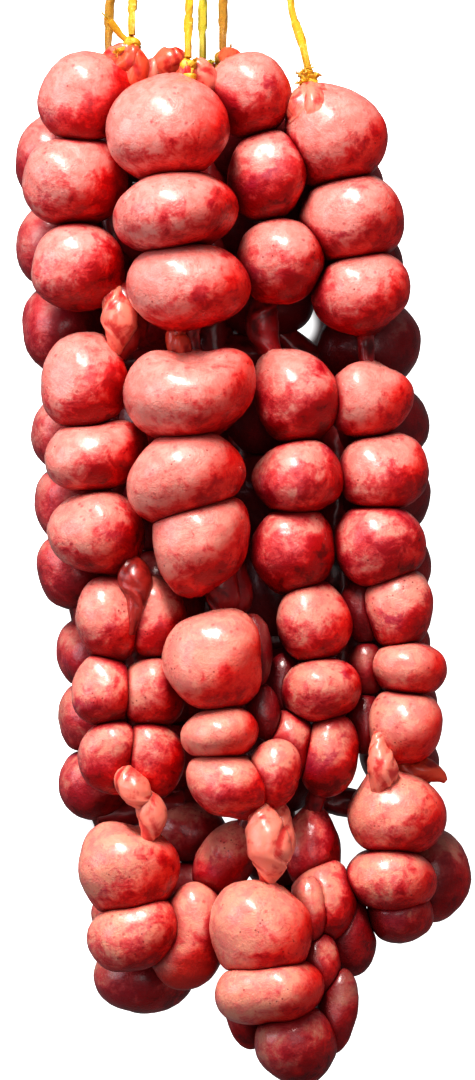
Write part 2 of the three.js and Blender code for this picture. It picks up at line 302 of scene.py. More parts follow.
def twineMaterial():
    material, make = newMaterial("yellowTwine")
    dyeAndShade = make.painted("dyeAndShade")
    strip = {"X": make.painted("along") * 60.0, "Y": make.painted("across") * 9.0}
    fibres = make.noise(make.node("ShaderNodeCombineXYZ", {}, strip), 3.0, 4.0, 0.65)
    patches = make.noise(make.place(), 220.0, 2.0)
    strands = make.step(fibres, 0.35, 0.65)
    bright, shadedGold, green = [make.mix(strands, *twineColours[name]) for name in ("bright", "shadedGold", "green")]
    bright = make.mix(make.step(patches, 0.55, 0.75), bright, twineColours["worn"])
    # painted shade: a tie set to 1 takes the darker yellow of twine in shadow
    colour = make.mix(make.step(dyeAndShade, 0.2, 0.8), bright, make.mix(make.step(dyeAndShade, 1.2, 1.8), shadedGold, green))
    bump = make.node("ShaderNodeBump", {}, {"Strength": 0.6, "Distance": 0.0003, "Height": fibres})
    sockets = {"Base Color": colour, "Roughness": 0.32 + 0.2 * fibres, "Normal": bump}
    sockets.update({"Subsurface Weight": 0.15, "Subsurface Scale": 0.002, "IOR": 1.49})
    endMaterial(make, sockets)
    return material


def ribbonSizes(values, diameter, dyeAndShade=0.0):
    return {
        "Diameter": diameter * mm, "Flatness": values["flatness"], "Step": values["step"] * mm,
        "Turns Per Metre": values["turnsPerMetre"], "Sides": values["sides"], "Dye And Shade": dyeAndShade,
        "Wobble Scale": 90.0, "Ridges": 5.0, "Ridge Height": 0.12,
    }


def twineTree(values):  # a flat ribbon twisted along each curve
    tree, make, given = newGeometryTree("twistedTwine", values)
    line = make.line(given, given.other("Step"))
    run = make.node("GeometryNodeSplineParameter", out="Length")
    wobble = make.noise(make.where(), given.other("Wobble Scale"))
    turn = (run * given.other("Turns Per Metre") + wobble * 0.5) * (2 * math.pi)
    line = make.store(make.tilted(line, turn), "along", run * 10.0)
    ring, angle = make.ring(given.other("Sides"), 1.0)
    ridge = 1.0 + given.other("Ridge Height") * make.sum("COSINE", angle * given.other("Ridges"))
    sockets = {"X": ridge, "Y": ridge * given.other("Flatness"), "Z": 1.0}
    flat = make.node("ShaderNodeCombineXYZ", {}, sockets)
    place = make.node("ShaderNodeVectorMath", {"operation": "MULTIPLY"}, {0: make.where(), 1: flat})
    ring = make.store(make.placed(ring, place), "across", make.sum("SINE", angle))
    tube = make.swept(line, ring, given.other("Diameter") * (0.55 + 0.1 * wobble))
    endGeometryTree(make, given, make.store(tube, "dyeAndShade", given.other("Dye And Shade")))
    return tree


def polyCurve(name, lines, closed=False):  # lines are in millimetres
    data = bpy.data.curves.new(name, "CURVE")
    data.dimensions = "3D"
    for line in lines:
        spline = data.splines.new("POLY")
        spline.points.add(len(line) - 1)
        for point, place in zip(spline.points, line):
            point.co = (*(np.array(place) * mm), 1)
        spline.use_cyclic_u = closed
    return addObject(name, data)


def finished(piece, node):
    for face in piece.data.polygons:
        face.use_smooth = True
    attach(piece, "root")
    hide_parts(node)
    return piece


def spun(name, node, lines, values, diameter, closed=False, dyeAndShade=0.0):  # a piece of twine
    sizes = {**ribbonSizes(values, diameter, dyeAndShade), "Material": twine}
    return finished(grown(polyCurve(name, lines, closed), ribbonTree, sizes, name), node)


def tieKnotLines(place, girth):  # an overhand knot with a turn round the casing below it
    x, y, z = place
    size = girth * 0.36
    knot = []
    for t in np.linspace(0, 2 * math.pi, 60, endpoint=False):
        away = size * (0.62 + 0.3 * math.cos(3 * t))
        rise = 0.55 * size * math.sin(3 * t)
        knot.append((x + away * math.cos(2 * t), y + 1.15 * away * math.sin(2 * t), z + rise))
    collar = []
    for t in np.linspace(0, 2 * math.pi, 30, endpoint=False):
        collar.append((x + 0.85 * size * math.cos(t), y - 1.35 * size, z + 0.85 * size * math.sin(t)))
    return [knot, collar]


def tieTails(tie, values, random):  # the knot's cut ends, and the loose threads at their tips
    tails, threads = [], []
    start = np.array(tie["knot"], float)
    for end in tie["tails"]:
        middle = start + np.array(end) * 0.5 + random.normal(0, 0.35, 3)
        tip = start + np.array(end)
        tails.append(smoothCurve([start, middle, tip], 10))
        for _ in range(values["threadsPerTail"]):
            spread = np.array(end) * 0.3 + random.normal(0, 0.8, 3)
            threads.append(smoothCurve([middle, tip, tip + spread], 6))
    return tails, threads


def makeTies(values):
    made = {}
    random = np.random.default_rng(values["seed"])
    for name, tie in ties.items():
        route = tieRoute(tie, values)
        length = float(np.linalg.norm(np.diff(route, axis=0), axis=1).sum()) * mm
        dyeAndShade, node = tie["dyeAndShade"], "tie_knot_" + name
        cord = spun("tie_ribbon_" + name, "tie_" + name, [route], values, values["diameter"], dyeAndShade=dyeAndShade)
        made[name] = (cord, route, length)
        lines = tieKnotLines(tie["knot"], values["knotGirth"])
        tails, threads = tieTails(tie, values, random)
        thin = {**values, "sides": values["threadSides"]}
        spun("knot_ribbon_" + name, node, lines, values, values["knotTwine"], True, dyeAndShade)
        spun("knot_ends_" + name, node, tails, values, values["tailTwine"], dyeAndShade=dyeAndShade)
        spun("knot_threads_" + name, node, threads, thin, values["threadTwine"], dyeAndShade=dyeAndShade)
    return made


def topKnotLines(x, y, values):  # turns of twine round the six ends, and the loop to hang them by
    wraps = []
    for t in np.linspace(0, 1, 120):
        angle = t * 2 * math.pi * values["turns"]
        swell = 0.82 + 0.18 * math.sin(math.pi * t)
        across, rise = values["halfWidth"] * swell, values["halfHeight"] * swell
        onward = values["start"] + values["length"] * t
        wraps.append((x + across * math.cos(angle), y + onward, values["rise"] + rise * math.sin(angle)))
    loop = []
    for t in np.linspace(0, 1, 60):
        angle = -math.pi / 2 + 2 * math.pi * t
        across, onward = values["loopRadius"] * math.cos(angle), values["loopRadius"] * math.sin(angle)
        lift = values["loopLift"] * (1 - math.sin(math.pi * t)) ** 2
        loop.append((x + across, y + values["loopMiddle"] + onward, values["loopRise"] + lift))
    return wraps, loop


def makeTopKnot(values):
    lines = topKnotLines(values["topX"], values["topY"], topKnotValues)
    return spun("top_knot_ribbon", "top_knot", lines, values, values["diameter"])


twine = twineMaterial()
ribbonTree = twineTree(ribbonSizes(twineValues, twineValues["diameter"]))
tieRibbons = makeTies(twineValues)
topKnot = makeTopKnot(twineValues)
for name, (cord, route, length) in tieRibbons.items():
    route[0] * mm
    route * mm
    [topKnot] if name == "centre" else ()
print("ties and knots made")


# Links: every link is a soft ball with its own place, size and lean, and the balls press flat
# where they meet. picture() takes the middle, width and height in pixels of the picture, and
# the height of the middle above the floor in millimetres. bumps are (towards right, up and
# forward, amount, sharpness), and a negative amount is a dent. gathered is where the casing is
# drawn together, film how much empty pale casing shows low on the link, dim how much painted
# shade darkens it where it lies in the bundle's dark, and tone how red its meat is.

pictureWidth, pictureHeight = 475, 1080
depthShare = 0.96  # of a link's width


def picture(px, py, width, height, z, lean=0, bumps=(), gathered=None, film=0, dim=0, tone=0.5):
    values = cameraValues
    nearness = (values["distance"] + values["focusHeight"] - z) / values["distance"]
    scale = values["seenHeight"] / pictureHeight * nearness
    x = values["x"] + (px - pictureWidth / 2) * scale
    middle = np.array([x, values["y"] + (pictureHeight / 2 - py) * scale, z])
    half = np.array([width * scale / 2, height * scale / 2, width * scale / 2 * depthShare])
    return {
        "middle": middle, "half": half, "lean": math.radians(lean), "bumps": bumps, "gathered": gathered,
        "film": film, "dim": dim, "tone": tone,
    }


backRise = 15.6  # of the back strings' middles above the floor
backTone, backLean = 0.65, 7
up = (0, 1, 0)


def hidden(start, end, widths, z=backRise, lengths=None, dim=0.25):  # a back bunch, in millimetres
    shares = np.array(lengths or [1] * len(widths)) / sum(lengths or [1] * len(widths))
    tops = np.cumsum(shares) - shares
    links = []
    for i, (width, share) in enumerate(zip(widths, shares)):
        along = tops[i] + share / 2
        x, y = start[0] + (end[0] - start[0]) * along, start[1] + (end[1] - start[1]) * along
        tall = share * abs(start[1] - end[1]) * 0.56
        lean = backLean * math.sin(3.1 * x + 1.7 * y)  # each link leans its own way
        links.append({
            "middle": np.array([x, y, z]), "half": np.array([width / 2, tall, width / 2 * depthShare]),
            "lean": math.radians(lean), "bumps": (), "gathered": None if i else up, "film": 0,
            "dim": dim, "tone": backTone,
        })
    return links


strings = {
    "centre": [
        picture(171, 127, 124, 98, 68, 4, [(-0.8, 0.2, 0.3, 0.03, 3), (-0.5, -0.8, 0.2, 0.06, 4)],
                (0.1, 1, -0.2), tone=0.35),
        picture(178, 209, 131, 84, 67, 8, [(0.25, -1, 0.3, -0.13, 7), (-0.7, -0.6, 0.2, 0.09, 5)],
                tone=0.4),
        picture(188, 285, 120, 82, 66, 5, [(0.9, -0.2, 0.1, 0.05, 5), (-0.3, 1, 0.4, 0.04, 6)],
                (-0.3, -1, -0.2), tone=0.45),
        picture(190, 397, 129, 86, 68, 2, [
            (-0.05, 1, 0.35, -0.3, 9), (0.85, 0.7, 0.1, 0.34, 9), (-0.6, 0.8, 0.2, 0.16, 8),
            (-0.6, -0.8, 0, 0.1, 6), (0.9, -0.6, 0.1, -0.12, 5),
        ], (0, 1, -0.6), tone=0.2),
        picture(186, 472, 114, 88, 68, 20, [
            (0.95, 0.1, 0, 0.07, 6), (-0.6, -0.8, 0.2, 0.1, 5), (0.6, -0.8, 0.1, -0.08, 5),
        ], tone=0.25),
        picture(203, 541, 100, 92, 66, 8, [
            (-0.35, -0.95, 0.1, 0.26, 8), (0.75, -0.6, 0.1, -0.12, 4), (0.55, 0.85, 0.1, 0.1, 6),
            (-0.85, 0.45, 0.2, 0.09, 6),
        ], (-0.2, -1, -0.4), tone=0.3),
        picture(211, 660, 97, 97, 68, -8, [
            (0.75, 0.6, 0.2, 0.09, 9), (0.85, -0.6, 0.1, 0.12, 12), (1, 0, 0.1, -0.05, 9),
        ], (0.5, 0.9, -0.3), tone=0.1),
        picture(219, 733, 79, 53, 68, 9, [(-0.9, 0.1, 0, 0.05, 6)], tone=0.1),
        picture(229, 784, 84, 64, 68, -9, [(-0.8, 0.5, 0.2, 0.07, 6)], (0.7, -0.9, -0.2), tone=0.4),
        picture(252, 651, 40, 78, 60, dim=0.45),
        picture(263, 712, 34, 58, 59, 6, dim=0.35),
        picture(272, 774, 56, 68, 67, -12, (), (-0.7, -0.9, 0)),
        picture(261, 930, 106, 96, 68, -4, [(0.35, 1, 0.2, -0.05, 10), (-0.6, -0.7, 0.1, 0.04, 4)],
                (0.25, 1, 0.1), tone=0.15),
        picture(270, 990, 109, 68, 68, 9, [(-0.6, -0.7, 0.2, 0.05, 6)], film=0.5, tone=0.2),
        picture(297, 1040, 82, 78, 64, 12, [(0.15, -1, 0, 0.16, 8), (-0.9, 0.1, 0, -0.05, 5)],
                tone=0.55, dim=0.3),
        picture(309, 914, 38, 60, 59, 0, (), (0, 1, 0), dim=0.05),
        picture(317, 964, 46, 70, 57, dim=0.2),
        picture(334, 1014, 42, 88, 58, -12, dim=0.36),
        picture(246, 1010, 44, 84, 50, 10, dim=0.3),
    ],
    "left": [
        picture(82, 97, 91, 95, 50, -6, [(0.95, 0.25, -0.1, 0.24, 6), (0.3, 1, 0.1, -0.05, 8)],
                (0.8, 0.6, -0.2), tone=0.3),
        picture(75, 181, 99, 86, 50, 0, [(-0.5, -0.7, 0.1, 0.04, 4)], tone=0.35),
        picture(76, 268, 91, 88, 50, -5, [(0.4, 0.9, 0.1, 0.05, 6)], (0.75, -0.6, 0), tone=0.5),
        picture(84, 386, 82, 92, 50, 10, [
            (-0.3, 1, 0.1, 0.08, 6), (-0.75, -0.65, 0.1, 0.09, 6), (0.95, -0.4, 0, 0.08, 8),
        ], (0.5, 0.9, -0.2), tone=0.45),
        picture(94, 456, 94, 68, 50, 17, [
            (-0.15, 1, 0.3, -0.16, 9), (0.8, 0.6, 0, 0.12, 7), (-0.7, 0.6, 0.1, 0.05, 6),
        ], tone=0.2),
        picture(99, 531, 95, 80, 50, 14, [(0.5, 0.85, 0.1, 0.06, 6), (-0.6, -0.6, 0.1, 0.03, 5)],
                (0.6, -0.8, 0), tone=0.35),
        picture(110, 622, 66, 86, 50, 8, [(0.3, 0.95, 0.1, 0.06, 6)], (0.7, 0.8, 0), tone=0.6),
        picture(105, 690, 66, 72, 50, 5, tone=0.6),
        picture(109, 755, 60, 74, 50, -12, [(0.6, -0.8, 0.1, 0.14, 8)], (0.6, -0.8, 0), tone=0.6),
        picture(154, 619, 60, 82, 49, -5, (), (-0.6, 0.8, 0), tone=0.5),
        picture(152, 692, 68, 72, 49, 4, tone=0.4),
        picture(152, 757, 60, 76, 49, 8, [(0.1, -1, 0, 0.07, 8)], (-0.6, -0.8, 0), tone=0.6),
        picture(126, 870, 97, 92, 50, -12, [
            (-0.45, 0.9, 0.1, 0.13, 6), (0.42, 0.9, 0.2, -0.13, 9), (1, 0.35, 0, 0.12, 7),
            (-0.2, -1, 0, 0.06, 6),
        ], (0.5, 0.85, -0.2)),
        picture(136, 931, 90, 74, 50, 20, [(-0.5, -0.6, 0.1, 0.05, 5)], tone=0.7),
        picture(190, 934, 70, 106, 46, -6, [(-0.75, -0.7, 0.1, 0.16, 6), (0.6, -0.8, 0.1, 0.12, 6)],
                film=1.0, tone=0.25),
    ],
    "right_centre": [
        picture(250, 94, 83, 88, 53, 0, (), (-0.6, 0.8, -0.4)),
        picture(269, 176, 82, 84, 53, -6),
        picture(281, 262, 88, 86, 53, -14, [(0.5, -0.8, 0, 0.04, 5)], (-0.6, -0.8, -0.3)),
        picture(296, 398, 88, 93, 53, 0, [(-0.2, 1, 0, 0.05, 7)], (-0.6, 0.9, -0.3)),
        picture(298, 478, 94, 72, 53, -3, [(-0.2, -1, 0.1, 0.04, 5)], tone=0.7),
        picture(295, 545, 84, 82, 53, 0, [(0.1, -1, 0, 0.1, 7)], (-0.3, -0.95, -0.2), tone=0.6),
        picture(315, 624, 73, 80, 53, 5, [(0, 1, 0, 0.04, 6)], (-0.2, 1, -0.3)),
        picture(322, 689, 82, 66, 53, 8, [(0.2, -1, 0, 0.04, 5)]),
        picture(329, 754, 60, 82, 54, -5),
        picture(290, 742, 52, 68, 54, 6, tone=0.7),
        picture(284, 683, 40, 60, 48, dim=0.5),
        picture(312, 853, 58, 88, 44, 6, (), (0.1, 1, 0), dim=0.12, tone=0.8),
        picture(323, 904, 64, 84, 50, -6, dim=0.1),
        picture(346, 931, 58, 88, 44, 16, dim=0.3),
        picture(224, 861, 58, 76, 41, -30, [(0.3, 1, 0, 0.06, 6)], (0.6, 0.8, 0), tone=0.6),
    ],
    "right": [
        picture(338, 139, 104, 95, 48, -6, [(-0.7, 0.85, 0, 0.2, 7)], (-0.75, 0.75, -0.2), tone=0.25),
        picture(355, 216, 108, 87, 48, 6, [(-0.6, -0.7, 0.1, 0.04, 5)], tone=0.35),
        picture(361, 292, 100, 78, 48, 0, (), (0.2, -1, -0.3), tone=0.4),
        picture(369, 399, 81, 76, 48, -4, [(1, 0.3, 0, 0.07, 8), (-0.5, -0.7, 0, 0.05, 5)],
                (0.1, 1, -0.4), tone=0.35),
        picture(382, 472, 92, 79, 48, 2, [(-0.6, 0.7, 0, 0.03, 5)], tone=0.45),
        picture(378, 547, 93, 82, 48, 8, [(-0.1, -1, 0, 0.04, 6)], (0.2, -1, -0.3), tone=0.65),
        picture(398, 612, 70, 78, 48, 12, [(0.5, 0.9, 0, 0.05, 6)], (0, 1, -0.3)),
        picture(407, 668, 78, 54, 48, -2, tone=0.15),
        picture(404, 727, 76, 71, 48, 12, [(-0.5, 0.85, 0.2, 0.12, 12)], (-0.6, -0.8, 0.2), tone=0.1),
        picture(361, 610, 42, 66, 44, 8, (), (0.3, 1, 0), dim=0.4),
        picture(367, 671, 40, 52, 44, -4, dim=0.25),
        picture(365, 724, 40, 56, 45, dim=0.3),
        picture(395, 817, 99, 82, 48, 0, [(-0.25, 1, 0.2, 0.05, 9), (0.5, 0.9, 0.1, 0.04, 7)],
                (-0.4, 1, 0.1), tone=0.25),
        picture(391, 881, 93, 64, 48, -6, [(0, -1, 0.1, 0.03, 5)], film=0.25, tone=0.6),
        picture(399, 911, 72, 58, 42, -4, dim=0.25),
    ],
    "back_left": [
        *hidden((-67, 162), (-68, 71), [34, 35, 31]),
        *hidden((-64, 60), (-62, -17), [29, 31, 28]),
        *hidden((-57, -22), (-55, -94), [26, 26, 26]),
        *hidden((-46, -100), (-35, -165), [27, 29, 36], lengths=[19, 20, 24]),
        *hidden((-32, 170), (-32, 78), [35, 35, 34]),
        *hidden((-31, 67), (-29, -27), [34, 34, 33]),
        *hidden((-27, -36), (-25, -84), [30, 30]),
        *hidden((-22, -89), (-16, -132), [28, 26]),
    ],
    "back_right": [
        *hidden((5, 168), (7, 82), [38, 39, 38], dim=0.45),
        *hidden((9, 71), (11, -25), [39, 39, 37], dim=0.5),
        *hidden((11, -35), (13, -91), [36, 34], dim=0.5),
        *hidden((14, -97), (17, -142), [31, 29], dim=0.4),
        *hidden((29, 152), (50, 65), [36, 38, 38], dim=0.4),
        *hidden((50, 63), (51, -15), [34, 34, 33], dim=0.42),
        *hidden((52, -20), (58, -84), [31, 30, 28], dim=0.37),
        *hidden((60, -84), (73, -131), [22, 28], z=17.6, lengths=[17, 29], dim=0.3),
    ],
}
linkValues = {
    "frontGrid": 24, "backGrid": 18, "fullness": 2.05, "lump": 0.041, "nipple": 0.12, "nippleSharpness": 14,
    # painted shade: sun is the direction the links' skin reddens away from
    "grow": (1.01, 1.03, 1.03), "softEdge": 1.2, "overlap": 0.1, "floorGap": 0.05, "sun": (-0.6, 0.7, 0.4),
    "lumpWaves": (2.2, 2.8, 3.4, 4.6, 6.0), "lumpShares": (1, 0.9, 0.7, 0.45, 0.3), "toneSpread": 0.15,
    "foldWidth": 2.0, "puckerWidth": 0.5, "seed": 7,
}


def ballGrid(steps):  # a ball made from a cube's six faces: directions and quads
    row = np.tan(np.linspace(-1, 1, steps + 1) * math.pi / 4)
    a, b = np.meshgrid(row, row, indexing="ij")
    one = np.ones_like(a)
    sides = [(one, a, b), (-one, b, a), (b, one, a), (a, -one, b), (a, b, one), (b, a, -one)]
    places = np.vstack([np.stack(side, axis=-1).reshape(-1, 3) for side in sides])
    kept, index = np.unique(np.round(places, 6), axis=0, return_inverse=True)
    corner = np.arange((steps + 1) ** 2).reshape(steps + 1, steps + 1)
    around = [corner[:-1, :-1], corner[1:, :-1], corner[1:, 1:], corner[:-1, 1:]]
    quad = np.stack(around, axis=2).reshape(-1, 4)
    quads = np.vstack([quad + k * corner.size for k in range(6)])
    return kept / np.linalg.norm(kept, axis=1)[:, None], index.ravel()[quads]


def unit(vector):
    vector = np.array(vector, float)
    return vector / np.linalg.norm(vector)


def turned(link, away):  # a vector in the link's own leaning frame: right, up, forward
    cosine, sine = math.cos(link["lean"]), math.sin(link["lean"])
    right = away[:, 0] * cosine + away[:, 1] * sine
    rise = away[:, 1] * cosine - away[:, 0] * sine
    return np.stack([right, rise, away[:, 2]], axis=1)


def reach(link, directions):  # from the middle of a link to its skin
    local = turned(link, directions)
    power = linkValues["fullness"]
    size = (np.abs(local / link["half"]) ** power).sum(axis=1) ** (-1 / power)
    swell = np.ones(len(size))
    for toward, amount, sharpness in link["shape"]:
        swell += amount * np.exp(sharpness * (directions @ toward - 1))
    for wave, turn, amount in link["lumps"]:
        swell += amount * np.sin(directions @ wave + turn)
    return size * swell


def fill(link, points):  # 0 in the middle of a link, 1 on its skin
    away = points - link["middle"]
    far = np.maximum(np.linalg.norm(away, axis=1), 1e-6)
    return far / reach(link, away / far[:, None])


def softLess(first, second, width):  # the smaller of two, with the corner between them rounded
    share = np.clip(0.5 + 0.5 * (second - first) / width, 0, 1)
    return second * (1 - share) + first * share - width * share * (1 - share)


def contactReach(link, other, directions, free):  # how far each ray goes before the other link is nearer
    low, high = np.zeros_like(free), free * 1.3
    for _ in range(13):  # halvings
        middle = (low + high) / 2
        points = link["middle"] + directions * middle[:, None]
        mine = middle / free < fill(other, points)
        low, high = np.where(mine, middle, low), np.where(mine, high, middle)
    return low


def prepareLinks(values):
    random = np.random.default_rng(values["seed"])
    every = []
    for links in strings.values():
        for link in links:
            link["shape"] = [(unit(toward), amount, sharp) for *toward, amount, sharp in link["bumps"]]
            if link["gathered"]:
                link["gathered"] = unit(link["gathered"])
                link["shape"].append((link["gathered"], values["nipple"], values["nippleSharpness"]))
            count = len(values["lumpWaves"])
            waves = random.normal(0, 1, (count, 3))
            waves *= np.array(values["lumpWaves"])[:, None] / np.linalg.norm(waves, axis=1)[:, None]
            shares = values["lump"] * np.array(values["lumpShares"])
            link["lumps"] = list(zip(waves, random.uniform(0, 2 * math.pi, count), shares))
            link["tone"] += random.uniform(-values["toneSpread"], values["toneSpread"])
            link["half"] = link["half"] * values["grow"]
            every.append(link)
    return every


def pressedLink(link, every, directions, values):  # points of a link, and how near each is to a fold
    free = reach(link, directions)
    size = free.max()
    least, fold = free.copy(), np.full(len(free), 99.0)
    for other in every:
        apart = np.linalg.norm(other["middle"] - link["middle"])
        if other is link or apart > size + other["half"].max() * 1.35:
            continue
        contact = contactReach(link, other, directions, free) + values["overlap"] / 2
        least = softLess(least, contact, values["softEdge"])
        fold = np.minimum(fold, np.abs(contact - free))
    height = link["middle"][2] - values["floorGap"]
    floor = np.where(directions[:, 2] < -0.05, height / np.maximum(-directions[:, 2], 0.05), 999)
    return link["middle"] + directions * softLess(least, floor, values["softEdge"])[:, None], fold


# the meat paints this as shade: darker where a point is closed in
def closedIn(points, normals, link, every):  # 0 in the open, 1 where the other links close a point in
    seen = np.ones(len(points))
    for other in every:
        away = other["middle"] - points
        far = np.maximum(np.linalg.norm(away, axis=1), 1e-6)
        size = other["half"][:2].mean()
        if other is link or far.min() > size * 3:
            continue
        facing = np.clip((away * normals).sum(axis=1) / far + 0.15, 0, 1)
        seen *= 1 - 0.75 * np.clip(size / np.maximum(far, size), 0, 1) ** 3 * facing
    return 1 - seen


def makeStringMesh(links, every, values, grid):
    directions, quads = grid
    places, faces = [], []
    names = ("fold", "belly", "fromSun", "closed", "dim", "tone", "pucker", "around", "film")
    columns = {name: [] for name in names}
    for count, link in enumerate(links):
        points, fold = pressedLink(link, every, directions, values)
        local = turned(link, directions)
        columns["fold"].append(np.exp(-(fold / values["foldWidth"]) ** 2))
        columns["belly"].append(0.5 - 0.5 * local[:, 1])
        # painted shade: how far the skin turns from the sun
        columns["fromSun"].append(0.5 - 0.5 * directions @ unit(values["sun"]))
        # painted shade: how closed in each point is, plus the link's dim
        columns["closed"].append(closedIn(points, directions, link, every) + link["dim"])
        columns["dim"].append(np.full(len(points), link["dim"]))
        columns["tone"].append(np.full(len(points), link["tone"]))
        columns["film"].append(link["film"] * np.clip(-local[:, 1] * 2.2 - 0.9, 0, 1))
        pucker, around = np.zeros(len(points)), np.zeros(len(points))
        if link["gathered"] is not None:
            axis = link["gathered"]
            side = unit(np.cross(axis, (0.3, 0.2, 1)))
            angle = np.arccos(np.clip(directions @ axis, -1, 1))
            pucker = np.exp(-(angle / values["puckerWidth"]) ** 2)
            around = np.arctan2(directions @ np.cross(axis, side), directions @ side)
        columns["pucker"].append(pucker)
        columns["around"].append(around)
        places.append(points)
        faces.append(quads + count * len(directions))
    mesh = bpy.data.meshes.new("links")
    mesh.from_pydata((np.vstack(places) * mm).tolist(), [], np.vstack(faces).tolist())
    mesh.update()
    for name, column in columns.items():
        setAttribute(mesh, name, np.concatenate(column))
    return mesh


skinValues = {
    "Lump Height": 0.0009, "Lump Scale": 55.0, "Ripple Height": 0.0003, "Ripple Scale": 300.0,
    "Pucker Height": 0.0004, "Puckers": 13.0, "Wander": 7.0, "Wander Scale": 110.0,
}


def skinTree(values):  # uneven skin over the links, puckered where the casing is gathered
    tree, make, given = newGeometryTree("linkSkin", values)
    place = make.where()
    lump = (make.noise(place, given.other("Lump Scale"), 1.0) - 0.5) * given.other("Lump Height") * 2.0
    ripple = make.noise(place, given.other("Ripple Scale"), 3.0) - 0.5
    ripple = ripple * given.other("Ripple Height") * 2.0
    wander = make.noise(place, given.other("Wander Scale"), 2.0) * given.other("Wander")
    pucker = make.sum("COSINE", make.stored("around") * given.other("Puckers") + wander)
    pucker = pucker * make.stored("pucker") * given.other("Pucker Height")
    height = (lump + ripple) * (1.0 - make.stored("fold")) + pucker
    endGeometryTree(make, given, make.pushed(given, height))
    return tree


# the crease, shaded, closed and dim colours are painted shade
meatColours = {
    "fatBelow": (0.83, 0.3, 0.205, 1), "fatAbove": (0.79, 0.29, 0.25, 1), "pale": (0.81, 0.2, 0.165, 1),
    "pink": (0.68, 0.06, 0.065, 1), "red": (0.44, 0.006, 0.018, 1), "bruise": (0.38, 0.03, 0.085, 1),
    "dark": (0.17, 0.002, 0.008, 1), "speck": (0.2, 0.01, 0.01, 1), "vein": (0.4, 0.012, 0.02, 1),
    "freckle": (0.42, 0.012, 0.03, 1), "film": (0.62, 0.38, 0.34, 1), "creaseShade": (0.34, 0.012, 0.015, 1),
    "shaded": (1.0, 0.06, 0.035, 1), "closed": (0.16, 0.002, 0.004, 1), "dim": (0.13, 0.003, 0.007, 1),
}
meatScales = {  # of each pattern, per metre
    "bruises": 62.0, "freckleArea": 70.0, "broad": 80.0, "speckArea": 95.0, "blotches": 150.0, "veins": 150.0,
    "middling": 230.0, "freckles": 260.0, "specks": 420.0, "wrinkles": 420.0, "fine": 850.0, "grain": 1600.0,
}


def dots(make, place, name, small, large):  # 1 in the middle of each dot, 0 outside it
    cells = make.node("ShaderNodeTexVoronoi", {}, {"Vector": place, "Scale": meatScales[name]})
    return 1.0 - make.step(cells, small, large)


